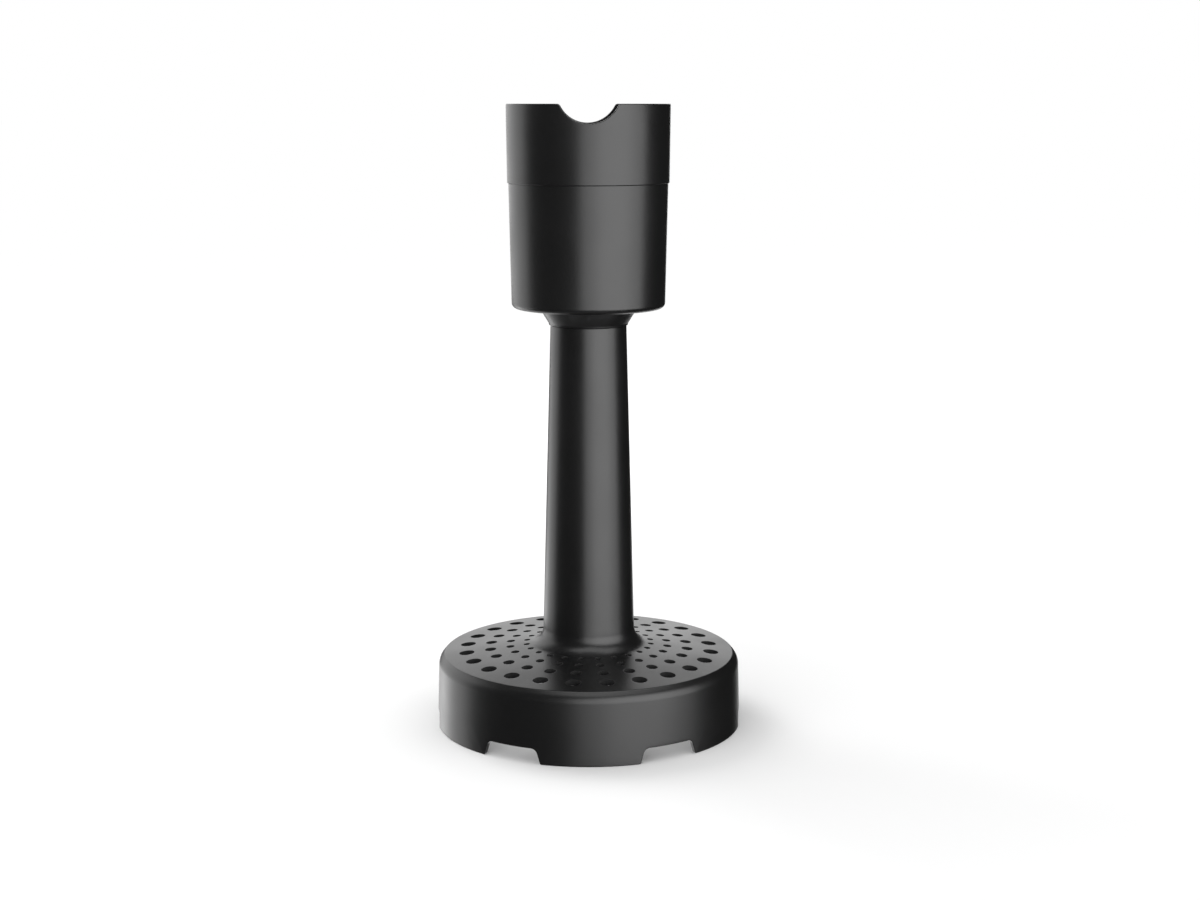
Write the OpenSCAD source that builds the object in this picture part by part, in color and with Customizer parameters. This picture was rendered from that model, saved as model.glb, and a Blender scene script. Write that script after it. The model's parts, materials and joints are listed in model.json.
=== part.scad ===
// Potato masher foot for a hand blender: a notched bell with a sieve plate, a paddle turning under
// the plate, a long tube, a planetary gearbox and an open collar that the motor unit plugs into.
// Millimetres, +Z up, origin in the middle of the resting edge, front of the collar towards -Y.

/* [Bell and sieve plate] */
// Diameter of the bell at its resting edge
foot_d = 105; // [96:0.5:130]
// Height of the sieve plate's top at the bell's wall
plate_edge_z = 24.3; // [22:0.1:34]
// Rise of the sieve plate towards its middle, in degrees
plate_slope = 6.1; // [3:0.1:8]
// Thickness of the sieve plate
plate_t = 2; // [1.6:0.1:2.6]
// Thickness of the bell's wall
skirt_wall = 2; // [1.6:0.1:3]
// Flare of the bell towards its resting edge, in degrees
skirt_draft = 1.75; // [0.5:0.05:3]
// Rounding between plate and wall, outside
shoulder_round = 3.2; // [2.4:0.1:4]
// Notches round the resting edge
notch_count = 6; // [3:1:8]
// Height of a notch
notch_h = 5.1; // [3:0.1:8]
// Width of a notch at the resting edge
notch_w = 21.3; // [12:0.1:24]
// How much narrower a notch is at its top
notch_taper = 3.2; // [1:0.1:6]
// Corner rounding of a notch
notch_round = 2.2; // [0.5:0.1:2.6]

/* [Sieve holes] */
// Holes in each ring
spoke_count = 24; // [12:1:28]
// Rings of holes
ring_count = 4; // [2:1:4]
// Distance from the bell's edge to the outer ring
ring_inset = 10.1; // [8:0.1:13]
// Distance from the tube's flare to the inner ring
ring_outset = 0.6; // [0:0.1:2]
// Gap between rings, as a share of the next gap outwards
ring_step = 0.834; // [0.7:0.01:1]
// Diameter of the holes in the outer ring
hole_d = 5.1; // [3:0.1:5.6]
// Diameter of a hole, as a share of the next hole outwards
hole_step = 0.735; // [0.6:0.005:0.85]

/* [Tube] */
// Height of the tube's top end
tube_top_z = 138.2; // [125:0.1:170]
// Outer diameter at the tube's top end
tube_top_d = 25.7; // [25.2:0.1:31]
// Outer diameter at the tube's root
tube_root_d = 31.6; // [31:0.1:38]
// Radius of the flare into the plate
flare_r = 6; // [4:0.1:7]
// Wall of the tube
tube_wall = 2.2; // [1.8:0.1:2.3]

/* [Gearbox] */
// Height of the conical neck
neck_h = 5.7; // [5:0.1:8]
// Diameter of the neck where it meets the housing
neck_d = 33; // [32:0.5:40]
// Length of the plug that enters the tube
spigot_l = 25; // [22:0.5:28]
// Height of the housing
house_h = 41.8; // [41:0.1:55]
// Diameter of the housing at its top
house_d = 53.45; // [50:0.05:65]
// Draft of the housing, in degrees
house_draft = 1.2; // [0.4:0.1:1.5]
// Wall of the housing beside the ring gear
house_wall = 2.8; // [2.2:0.1:3.5]
// Corner rounding at the housing's foot
house_round = 2; // [1:0.1:3]
// Teeth of the sun gear, a multiple of three
sun_teeth = 12; // [9:3:15]
// Teeth of a planet gear, an even multiple of three
planet_teeth = 18; // [18:6:24]
// Wall of the ring gear behind its teeth
ring_wall = 4.14; // [4:0.01:5]
// Face width of the planet gears
gear_w = 10; // [7:0.5:11]

/* [Collar] */
// How far the collar's rim stands out beyond the housing's top
collar_overhang = 0.675; // [0.3:0.005:2]
// Height of the collar above the seam
collar_h = 26; // [22:0.5:34]
// Wall of the collar
collar_wall = 2.5; // [2:0.1:3]
// Draft of the collar, in degrees
collar_draft = 0.6; // [0:0.1:1]
// Radius of the round finger notches in the rim
finger_r = 10.5; // [8:0.1:12]
// Depth of the finger notches
finger_depth = 6.4; // [4:0.1:8]

/* [Drive line] */
// Diameter of the drive shaft
shaft_d = 6; // [5:0.1:7.2]
// Diameter of the gearbox's output shaft
output_d = 11; // [10.5:0.1:11.6]
// Diameter of the input shaft
input_d = 4; // [3:0.1:4.4]
// Gap between the paddle's tips and the bell's wall
paddle_tip_gap = 4.5; // [3:0.1:12]
// Gap between the paddle and the sieve plate
paddle_gap = 1.2; // [0.8:0.1:2]
// Thickness of a paddle wing
wing_t = 2.6; // [2:0.1:4]

/* [Fits] */
// Radial clearance of running and sliding fits
run_gap = 0.05; // [0.03:0.01:0.1]
// Radial clearance between parts that don't move on each other
seat_gap = 0.02; // [0.01:0.01:0.05]
// Clearance beside keys and in hexagon sockets
key_gap = 0.15; // [0.1:0.01:0.25]
// Gap left at shoulders that meet when the foot is pushed home
shoulder_gap = 0.1; // [0.05:0.01:0.2]
// Thinning of each gear tooth, for backlash
backlash = 0.12; // [0.08:0.01:0.2]

/* [Hidden] */
$fn = 96;
BLACK = "#1d1e20";
STEEL = "#b9bcc0";
NATURAL = "#e6e2d6";
RUBBER = "#2c2c2e";
eps = 0.5;

// Bell and plate
foot_r = foot_d / 2;
inner_round = 1.4;
plug_r = tube_root_d / 2 - tube_wall - 0.1;
plug_bottom_z = plate_edge_z + lift(foot_r - plug_r, plate_slope) - plate_t;
plug_top_z = plug_bottom_z + 9.5;
tube_root_z = plate_edge_z + 6;
ring_gaps = [for (i = [0:ring_count - 2]) pow(ring_step, i)];
ring_outer_hole_r = foot_r - ring_inset;
ring_inner_hole_r = tube_root_d / 2 + flare_r * 0.87 + ring_outset;
notch_angle = 360 / notch_count;

// Tube and the plug of the neck in it
spigot_r = tube_top_d / 2 - tube_wall - 0.15;
spigot_bottom_z = tube_top_z - spigot_l;
spigot_bore_r = spigot_r + run_gap;
ledge_z = spigot_bottom_z - 1;
ledge_t = 2;
ledge_bore_r = spigot_r - 2;
guide_r = spigot_r + 0.9;
guide_h = 8;
guide_top_z = ledge_z - ledge_t;
guide_seat_l = 10;
key_count = 3;
key_w = 4;
key_h = 6;
key_t = 1.1;

// Heights of the gearbox, all from the neck upwards
neck_z = tube_top_z + shoulder_gap;
house_z = tube_top_z + neck_h;
floor_t = 3.5;
floor_z = house_z + floor_t;
washer_t = 0.8;
carrier_z = floor_z + washer_t + 0.1;
carrier_t = 4;
ledge_h = 3.9;
ring_z = floor_z + ledge_h;
ring_w = gear_w + 3;
gear_z = carrier_z + carrier_t + 0.3;
pin_head_t = 1.2;
pin_head_z = gear_z + gear_w + 0.3;
cover_z = ring_z + ring_w;
cover_t = 3.5;
cover_top_z = cover_z + cover_t;
cover_relief = 0.8;
seam_z = house_z + house_h;
rim_z = seam_z + collar_h;
socket_floor_t = 3;
socket_floor_z = seam_z - 2.5;
socket_top_z = socket_floor_z + socket_floor_t;
spigot_ring_l = 8;
latch_w = 3;
latch_depth = 1.1;
latch_z = socket_top_z + 9.5;

// Radii of the gearbox
house_top_r = house_d / 2;
house_base_r = house_top_r - house_h * tan(house_draft);
cavity_r = house_base_r - house_wall;
ring_outer_r = cavity_r - run_gap;
ledge_r = ring_outer_r - 2.1;
mouth_r = house_top_r - 2.3;
mouth_z = seam_z - spigot_ring_l - 0.3;
collar_rim_r = house_top_r + collar_overhang;
collar_base_r = collar_rim_r - collar_h * tan(collar_draft);
socket_r = collar_rim_r - collar_wall;
output_r = output_d / 2;
output_bush_r = output_r + 2;
output_end_z = spigot_bottom_z + 2;
output_flange_r = output_bush_r + 1.2;
boss_r = output_bush_r + 1.7;
boss_h = floor_t - 1;

// Gears
addendum = 0.9;
dedendum = 1.15;
pressure = 25;
ring_teeth = sun_teeth + 2 * planet_teeth;
gear_m = (ring_outer_r - ring_wall) / (ring_teeth / 2 + dedendum);
orbit_r = gear_m * (sun_teeth + planet_teeth) / 2;
planet_count = 3;
planet_turn = 180 / planet_teeth;
pin_r = 2;
pin_head_r = 3;
carrier_r = orbit_r + 5.5;

// Drive line
shaft_r = shaft_d / 2;
shaft_bottom_z = plate_edge_z - 11.3;
shaft_top_z = output_end_z + 14.5;
shaft_hex_z = output_end_z - 0.5;
lower_hex_top_z = plug_bottom_z - 0.4;
hex_socket_top_z = shaft_top_z + 1.2;
bush_wall = 1.6;
seal_r = shaft_r + 2.6;
seal_h = 2.4;
clip_t = 0.8;
clip_r = shaft_r + 2.4;
groove_r = shaft_r - 0.5;
clip_heights = [plug_top_z + 0.2, guide_top_z - guide_h - 0.2 - clip_t];

// Paddle
paddle_r = foot_r - skirt_wall - paddle_tip_gap;
hub_r = 7;
hub_top_z = plug_bottom_z - 0.8;
hub_bottom_z = shaft_bottom_z - 3;
wing_count = 2;
wing_bend_r = paddle_r * 0.72;
wing_h = 10;
wing_foot_w = 5.4;
wing_foot_h = 2.2;

// Input
input_r = input_d / 2;
input_bush_r = input_r + 3;
input_boss_r = input_bush_r + 3;
input_boss_h = 8;
input_seal_h = 2.8;
coupling_r = 8;
coupling_z = cover_top_z + input_boss_h + 1.2;
coupling_top_z = socket_top_z + 11;
coupling_floor_z = coupling_top_z - 10.5;
coupling_teeth = 8;
coupling_hole_r = coupling_r + 1.6;

// Screws
screw_r = 1.1;
screw_head_r = 1.9;
screw_head_h = 1.5;
cover_screw_orbit = ring_outer_r - screw_head_r - 0.3;
neck_screw_orbit = spigot_r + screw_r + 0.4;
post_r = 3.2;
post_orbit = socket_r - 9.4;

function unit(v) = v / norm(v);
function lift(r, slope) = r * tan(slope);
function skirt_r(z) = foot_r - lift(z, skirt_draft);
function plate_top(r) = plate_edge_z + lift(foot_r - r, plate_slope);
function plate_under(r) = plate_top(r) - plate_t;
function tube_r(z) = tube_root_d / 2
    + (tube_top_d - tube_root_d) / 2 * (z - tube_root_z) / (tube_top_z - tube_root_z);
function house_r(z) = house_top_r - lift(seam_z - z, house_draft);
function sum(v, n) = n <= 0 ? 0 : v[n - 1] + sum(v, n - 1);
function ring_r(i) = ring_outer_hole_r
    - (ring_outer_hole_r - ring_inner_hole_r) * sum(ring_gaps, i) / sum(ring_gaps, ring_count - 1);

// Points of a corner at p, between neighbours a and b, rounded to radius r
function corner(a, p, b, r, n) =
    let (u = unit(a - p), v = unit(b - p), half = acos(u * v) / 2,
         c = p + unit(u + v) * r / sin(half),
         s = p + u * r / tan(half) - c, e = p + v * r / tan(half) - c,
         a0 = atan2(s.y, s.x), turn = (atan2(e.y, e.x) - a0 + 540) % 360 - 180)
    [for (i = [0:n]) c + r * [cos(a0 + turn * i / n), sin(a0 + turn * i / n)]];

// Closed outline through [x, y, corner radius] points
function rounded(p, n = 6) =
    let (m = len(p), at = function (i) [p[(i + m) % m].x, p[(i + m) % m].y])
    [for (i = [0:m - 1]) each p[i].z > 0
        ? corner(at(i - 1), at(i), at(i + 1), p[i].z, n) : [at(i)]];

// Involute gear outline: half the tooth's angle at radius r, then the teeth one by one
function inv(a) = tan(a) * 180 / PI - a;
function half_tooth(r, teeth, gap) =
    let (pitch_r = gear_m * teeth / 2, base_r = pitch_r * cos(pressure), rr = max(r, base_r))
    90 / teeth + inv(pressure) - inv(acos(base_r / rr)) - gap / 4 / pitch_r * 180 / PI;
function gear_outline(teeth, tip, root, gap, steps = 4) =
    let (pitch_r = gear_m * teeth / 2, low = pitch_r - root * gear_m, high = pitch_r + tip * gear_m)
    [for (t = [0:teeth - 1], side = [-1, 1], i = [0:steps])
        let (k = side < 0 ? i : steps - i, r = low + (high - low) * k / steps,
             a = 360 * t / teeth + side * half_tooth(r, teeth, gap))
        r * [cos(a), sin(a)]];

module around(count, start = 0) {
    for (i = [0:count - 1]) rotate([0, 0, start + i * 360 / count]) children();
}

module tube(r_out, r_in, z0, z1) {
    translate([0, 0, z0]) difference() {
        cylinder(r = r_out, h = z1 - z0);
        translate([0, 0, -eps]) cylinder(r = r_in, h = z1 - z0 + 2 * eps);
    }
}

module hex_bar(across_corners, z0, z1) {
    translate([0, 0, z0]) cylinder(d = across_corners, h = z1 - z0, $fn = 6);
}

// Pan-head screw: head down to z, shank of length l below it, cross recess in the head
module screw(z, l) {
    difference() {
        union() {
            translate([0, 0, z - l]) cylinder(r = screw_r, h = l + screw_head_h / 2);
            translate([0, 0, z]) cylinder(r = screw_head_r, h = screw_head_h);
        }
        for (a = [0, 90]) rotate([0, 0, a])
            translate([-screw_head_r * 0.6, -0.25, z + screw_head_h / 2])
                cube([screw_head_r * 1.2, 0.5, screw_head_h]);
    }
}

module screw_hole(z, l) {
    translate([0, 0, z - l - eps]) cylinder(r = screw_r + seat_gap, h = l + 2 * eps);
    translate([0, 0, z]) cylinder(r = screw_head_r + key_gap, h = screw_head_h + eps);
}

// ---- Foot: bell, sieve plate and tube in one moulding ----

module foot_shell() {
    wall_in = foot_r - skirt_wall;
    rotate_extrude() polygon(rounded([
        [foot_r, 0, 0.4],
        [skirt_r(plate_edge_z), plate_edge_z, shoulder_round],
        [tube_r(tube_root_z), plate_top(tube_r(tube_root_z)), flare_r],
        [tube_r(tube_top_z), tube_top_z, 0],
        [spigot_bore_r, tube_top_z, 0],
        [spigot_bore_r, ledge_z, 0],
        [ledge_bore_r, ledge_z, 0],
        [ledge_bore_r, guide_top_z, 0],
        [guide_r, guide_top_z, 0],
        [guide_r, guide_top_z - guide_seat_l, 0],
        [plug_r - 0.6, plug_top_z, 0],
        [plug_r, plug_top_z, 0],
        [plug_r, plate_under(plug_r), 0],
        [skirt_r(plate_edge_z) - skirt_wall, plate_under(wall_in), inner_round],
        [wall_in, 0, 0.4]
    ]));
}

module sieve_holes() {
    for (i = [0:ring_count - 1]) around(spoke_count, 90 + 180 / spoke_count)
        translate([ring_r(i), 0, plate_edge_z - plate_t - eps])
            cylinder(d = hole_d * pow(hole_step, i), h = plate_t + lift(foot_r, plate_slope) + 2 * eps,
                     $fn = 32);
}

module skirt_notches() {
    half = notch_w / 2;
    for (i = [0:notch_count - 1]) rotate([0, 0, -90 + notch_angle * (i + 0.5)])
        translate([foot_r - skirt_wall - 3, 0, 0]) rotate([90, 0, 90])
            linear_extrude(skirt_wall + 6) polygon(rounded([
                [-half - 0.24, -0.5, 0], [half + 0.24, -0.5, 0],
                [half - notch_taper / 2, notch_h, notch_round],
                [-half + notch_taper / 2, notch_h, notch_round]
            ]));
}

module key_slots() {
    around(key_count, 90) translate([spigot_r - 0.5, -key_w / 2 - key_gap, tube_top_z - key_h - 0.4])
        cube([key_t + 0.7, key_w + 2 * key_gap, key_h + eps + 0.4]);
}

module masher_foot() {
    color(BLACK) difference() {
        foot_shell();
        sieve_holes();
        skirt_notches();
        key_slots();
    }
}

// Cup that closes the tube's root and carries the lower bush and the seal
module hub_plug() {
    r = plug_r - seat_gap;
    bush_r = shaft_r + bush_wall + seat_gap;
    pocket_r = seal_r + seat_gap;
    color(BLACK) rotate_extrude() polygon(rounded([
        [pocket_r, plug_bottom_z, 0], [r, plug_bottom_z, 0.5], [r, plug_top_z, 0],
        [r - 1.8, plug_top_z, 0], [r - 1.8, plug_bottom_z + 3.5, 0.5],
        [bush_r + 2, plug_bottom_z + 3.5, 0.5], [bush_r + 2, plug_top_z, 0],
        [bush_r, plug_top_z, 0], [bush_r, plug_bottom_z + seal_h, 0],
        [pocket_r, plug_bottom_z + seal_h, 0]
    ], 4));
}

module lower_bush() {
    color(NATURAL) tube(shaft_r + bush_wall, shaft_r + run_gap, plug_bottom_z + seal_h, plug_top_z);
}

module shaft_seal() {
    color(RUBBER) tube(seal_r, shaft_r + run_gap, plug_bottom_z, plug_bottom_z + seal_h - 0.1);
}

// Disc that steadies the drive shaft at the top of the tube, with lightening holes
module upper_bush() {
    hole_orbit = (shaft_r + guide_r) / 2 + 0.4;
    hole_r = (guide_r - shaft_r) / 2 - 2.1;
    color(NATURAL) difference() {
        tube(guide_r - seat_gap, shaft_r + run_gap, guide_top_z - guide_h, guide_top_z);
        around(6) translate([hole_orbit, 0, guide_top_z - guide_h - eps])
            cylinder(r = hole_r, h = guide_h + 2 * eps);
    }
}

// ---- Drive line in the foot ----

module drive_shaft() {
    color(STEEL) difference() {
        union() {
            hex_bar(shaft_d, shaft_bottom_z, lower_hex_top_z + eps);
            translate([0, 0, lower_hex_top_z]) cylinder(r = shaft_r, h = shaft_hex_z - lower_hex_top_z);
            hex_bar(shaft_d, shaft_hex_z - eps, shaft_top_z);
        }
        for (z = clip_heights) tube(shaft_r + 1, groove_r, z - 0.05, z + clip_t + 0.05);
    }
}

module shaft_clips() {
    color(STEEL) for (z = clip_heights) difference() {
        tube(clip_r, groove_r + seat_gap, z, z + clip_t);
        translate([0, -groove_r * 0.7, z - eps]) cube([clip_r + 1, groove_r * 1.4, clip_t + 2 * eps]);
    }
}

// Outline of one wing seen from above: a band bent backwards from the hub to the tip
module wing_band(w) {
    a = acos(paddle_r / 2 / wing_bend_r);
    intersection() {
        translate(wing_bend_r * [cos(a), sin(a)]) difference() {
            circle(r = wing_bend_r + w / 2);
            circle(r = wing_bend_r - w / 2);
        }
        translate([0, -paddle_r]) square([2 * paddle_r, 1.25 * paddle_r]);
    }
}

// Ring-shaped solid under the plate, from the wings' lower edge up to a height below the plate
module paddle_sweep(below_plate) {
    hub_edge = hub_r - 1;
    lower_edge = paddle_gap + wing_h;
    rotate_extrude() polygon(rounded([
        [hub_edge, min(plate_under(hub_edge) - below_plate, hub_top_z), 0],
        [hub_edge, plate_under(hub_edge) - lower_edge, 0],
        [paddle_r, plate_under(paddle_r) - lower_edge, wing_foot_h * 0.6],
        [paddle_r, plate_under(paddle_r) - below_plate, 0]
    ]));
}

module paddle_hub() {
    difference() {
        rotate_extrude() polygon(rounded([
            [0, hub_bottom_z, 0], [hub_r, hub_bottom_z, 1.5], [hub_r, hub_top_z, 0.6], [0, hub_top_z, 0]
        ]));
        hex_bar(shaft_d + 2 * key_gap, shaft_bottom_z - 0.3, hub_top_z + eps);
    }
}

module paddle() {
    color(BLACK) union() {
        paddle_hub();
        around(wing_count) {
            intersection() {
                linear_extrude(plate_edge_z + 10) wing_band(wing_t);
                paddle_sweep(paddle_gap);
            }
            intersection() {
                linear_extrude(plate_edge_z + 10) wing_band(wing_foot_w);
                paddle_sweep(paddle_gap + wing_h - wing_foot_h);
            }
        }
    }
}

// ---- Neck: conical flange under the housing and the plug that enters the tube ----

module neck_ring() {
    groove = [spigot_r - 1.5, tube_top_z - 14];
    color(BLACK) difference() {
        union() {
            rotate_extrude() polygon(rounded([
                [output_bush_r + seat_gap, spigot_bottom_z, 0],
                [spigot_r, spigot_bottom_z, 0.8],
                [spigot_r, groove.y - 1, 0], [groove.x, groove.y - 1, 0],
                [groove.x, groove.y + 1, 0], [spigot_r, groove.y + 1, 0],
                [spigot_r, neck_z, 0],
                [tube_top_d / 2 + 0.45, neck_z, 0],
                [tube_top_d / 2 + 0.6, neck_z + 0.6, 0.4],
                [neck_d / 2, house_z, 0],
                [boss_r, house_z, 0],
                [boss_r, house_z + boss_h, 0.3],
                [output_bush_r + seat_gap, house_z + boss_h, 0]
            ], 4));
            around(key_count, 90) translate([spigot_r - 0.4, -key_w / 2, tube_top_z - key_h])
                cube([key_t + 0.4, key_w, key_h + 1]);
        }
        around(key_count, 30) translate([neck_screw_orbit, 0, house_z - 4.2])
            cylinder(r = screw_r + seat_gap, h = 6);
    }
}

module neck_screws() {
    color(STEEL) around(key_count, 30) translate([neck_screw_orbit, 0, 0])
        screw(floor_z - screw_head_h, floor_t - screw_head_h + 4);
}

module neck_o_ring() {
    color(RUBBER) translate([0, 0, tube_top_z - 14])
        rotate_extrude() translate([spigot_r - 0.8, 0]) circle(r = 0.7, $fn = 24);
}

module output_bush() {
    z1 = house_z + boss_h;
    color(NATURAL) difference() {
        union() {
            translate([0, 0, spigot_bottom_z + 8]) cylinder(r = output_bush_r, h = z1 - spigot_bottom_z - 8);
            translate([0, 0, z1]) cylinder(r = output_flange_r, h = floor_z - z1);
        }
        translate([0, 0, spigot_bottom_z]) cylinder(r = output_r + run_gap, h = floor_z - spigot_bottom_z + 1);
    }
}

module output_seal() {
    color(RUBBER) tube(output_bush_r, output_r + run_gap, spigot_bottom_z + 2, spigot_bottom_z + 7.9);
}

module thrust_washer() {
    color(STEEL) tube(output_flange_r, output_r + 0.3, floor_z, floor_z + washer_t);
}

// ---- Gearbox housing ----

module housing_keys(gap) {
    around(planet_count, 90) translate([ring_outer_r - 1 - gap, -1.5 - gap, ring_z - eps])
        cube([1.5 + gap, 3 + 2 * gap, cover_top_z - ring_z + eps]);
}

module gearbox_housing() {
    color(BLACK) union() {
        difference() {
            rotate_extrude() polygon(rounded([
                [boss_r + run_gap, house_z, 0],
                [house_r(house_z), house_z, house_round],
                [house_r(seam_z), seam_z, 0.15],
                [mouth_r, seam_z, 0], [mouth_r, mouth_z, 0],
                [cavity_r, mouth_z, 0], [cavity_r, ring_z, 0],
                [ledge_r, ring_z, 0], [ledge_r, floor_z, 0],
                [boss_r + run_gap, floor_z, 0]
            ]));
            around(key_count, 30) translate([neck_screw_orbit, 0, 0])
                screw_hole(floor_z - screw_head_h, floor_t);
        }
        intersection() {
            housing_keys(0);
            translate([0, 0, ring_z - eps]) cylinder(r = cavity_r + 0.4, h = house_h);
        }
    }
}

module ring_gear() {
    color(NATURAL) difference() {
        translate([0, 0, ring_z]) cylinder(r = ring_outer_r, h = ring_w);
        translate([0, 0, ring_z - eps]) rotate([0, 0, 180 / ring_teeth]) linear_extrude(ring_w + 2 * eps)
            polygon(gear_outline(ring_teeth, dedendum, addendum, -backlash));
        housing_keys(key_gap);
        around(planet_count, 30) translate([cover_screw_orbit, 0, cover_z - 6.5])
            cylinder(r = screw_r + seat_gap, h = 7);
    }
}

// Lid over the gears, with the input bush's boss and three posts for the collar
module gear_cover() {
    color(BLACK) difference() {
        union() {
            translate([0, 0, cover_z]) cylinder(r = ring_outer_r, h = cover_t);
            translate([0, 0, cover_z + cover_t / 2])
                cylinder(r = input_boss_r, h = cover_t / 2 + input_boss_h);
            around(planet_count, 90) translate([post_orbit, 0, cover_z + cover_t / 2])
                cylinder(r = post_r, h = socket_floor_z - cover_z - cover_t / 2);
        }
        translate([0, 0, cover_z - eps]) cylinder(r = carrier_r + 0.4, h = cover_relief + eps);
        translate([0, 0, cover_z]) cylinder(r = input_bush_r + seat_gap, h = 30);
        housing_keys(key_gap);
        around(planet_count, 30) translate([cover_screw_orbit, 0, 0])
            screw_hole(cover_top_z - screw_head_h, cover_t);
        around(planet_count, 90) translate([post_orbit, 0, socket_floor_z - 7])
            cylinder(r = screw_r + seat_gap, h = 8);
    }
}

module cover_screws() {
    color(STEEL) around(planet_count, 30) translate([cover_screw_orbit, 0, 0])
        screw(cover_top_z - screw_head_h, cover_t - screw_head_h + 6);
}

module input_bush() {
    color(NATURAL) tube(input_bush_r, input_r + run_gap, cover_z + cover_relief,
                        cover_top_z + input_boss_h - input_seal_h - 0.2);
}

module input_seal() {
    color(RUBBER) tube(input_bush_r, input_r + run_gap, cover_top_z + input_boss_h - input_seal_h,
                       cover_top_z + input_boss_h - 0.2);
}

// ---- Collar: open sleeve for the motor unit, with a floor and a ring that enters the housing ----

module coupling_collar() {
    color(BLACK) difference() {
        rotate_extrude() polygon(rounded([
            [collar_base_r, seam_z, 0.25], [collar_rim_r, rim_z, 0.4],
            [socket_r, rim_z, 0.8], [socket_r, socket_top_z, 0.8],
            [coupling_hole_r + 1.2, socket_top_z, 0], [coupling_hole_r + 1.2, socket_top_z + 1.2, 0.3],
            [coupling_hole_r, socket_top_z + 1.2, 0.3], [coupling_hole_r, socket_floor_z, 0],
            [mouth_r - 2, socket_floor_z, 0.5], [mouth_r - 2, seam_z - spigot_ring_l, 0],
            [mouth_r - seat_gap, seam_z - spigot_ring_l, 0.5], [mouth_r - seat_gap, seam_z, 0]
        ], 4));
        translate([0, 0, rim_z - finger_depth + finger_r]) rotate([90, 0, 0])
            cylinder(r = finger_r, h = 4 * collar_rim_r, center = true);
        tube(socket_r + latch_depth, socket_r - 1, latch_z, latch_z + latch_w);
        around(planet_count, 90) translate([post_orbit, 0, 0])
            screw_hole(socket_top_z - screw_head_h, socket_floor_t);
    }
}

module collar_screws() {
    color(STEEL) around(planet_count, 90) translate([post_orbit, 0, 0])
        screw(socket_top_z - screw_head_h, socket_floor_t - screw_head_h + 6);
}

// ---- Planet stage ----

module planet_carrier() {
    color(STEEL) difference() {
        union() {
            translate([0, 0, carrier_z]) cylinder(r = carrier_r, h = carrier_t);
            translate([0, 0, output_end_z]) cylinder(r = output_r, h = carrier_z - output_end_z + 1);
        }
        hex_bar(shaft_d + 2 * key_gap, output_end_z - eps, hex_socket_top_z);
        around(planet_count) translate([orbit_r, 0, carrier_z + 1])
            cylinder(r = pin_r + seat_gap / 2, h = carrier_t);
    }
}

module planet_pins() {
    color(STEEL) around(planet_count) translate([orbit_r, 0, 0]) {
        translate([0, 0, carrier_z + 1]) cylinder(r = pin_r, h = pin_head_z - carrier_z - 0.5);
        translate([0, 0, pin_head_z]) cylinder(r = pin_head_r, h = pin_head_t);
    }
}

module planet_gear(k) {
    color(NATURAL) rotate([0, 0, k * 360 / planet_count]) translate([orbit_r, 0, gear_z])
        difference() {
            rotate([0, 0, planet_turn]) linear_extrude(gear_w)
                polygon(gear_outline(planet_teeth, addendum, dedendum, backlash));
            translate([0, 0, -eps]) cylinder(r = pin_r + run_gap, h = gear_w + 2 * eps);
        }
}

module planet_gear_1() { planet_gear(0); }
module planet_gear_2() { planet_gear(1); }
module planet_gear_3() { planet_gear(2); }

// ---- Input ----

module input_shaft() {
    z0 = gear_z;
    color(STEEL) translate([0, 0, z0]) cylinder(r = input_r, h = coupling_floor_z - 1 - z0);
}

module sun_gear() {
    color(STEEL) translate([0, 0, gear_z]) difference() {
        linear_extrude(gear_w + 0.2) polygon(gear_outline(sun_teeth, addendum, dedendum, backlash));
        translate([0, 0, -eps]) cylinder(r = input_r + seat_gap / 2, h = gear_w + 1 + eps);
    }
}

// Toothed cup that the motor unit's drive pin enters
module input_coupling() {
    tooth_w = 1.8;
    color(NATURAL) difference() {
        rotate_extrude() polygon(rounded([
            [input_r + seat_gap / 2, coupling_z, 0],
            [coupling_r - 2, coupling_z, 0.5], [coupling_r - 2, coupling_floor_z - 2, 0],
            [coupling_r, coupling_floor_z - 1, 0.5], [coupling_r, coupling_top_z, 0.8],
            [coupling_r - 2.6, coupling_top_z, 0.4], [coupling_r - 2.6, coupling_floor_z, 0],
            [input_r + seat_gap / 2, coupling_floor_z, 0]
        ], 4));
        around(coupling_teeth) translate([0, -tooth_w / 2, coupling_floor_z])
            cube([coupling_r - 1.4, tooth_w, 20]);
    }
}

masher_foot();
hub_plug();
lower_bush();
shaft_seal();
upper_bush();
drive_shaft();
shaft_clips();
paddle();
neck_ring();
neck_screws();
neck_o_ring();
output_bush();
output_seal();
thrust_washer();
gearbox_housing();
ring_gear();
gear_cover();
cover_screws();
input_bush();
input_seal();
coupling_collar();
collar_screws();
planet_carrier();
planet_pins();
planet_gear_1();
planet_gear_2();
planet_gear_3();
input_shaft();
sun_gear();
input_coupling();
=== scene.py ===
import json
import math

import bmesh
import bpy
import numpy as np
from mathutils import Matrix, Vector


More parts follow.
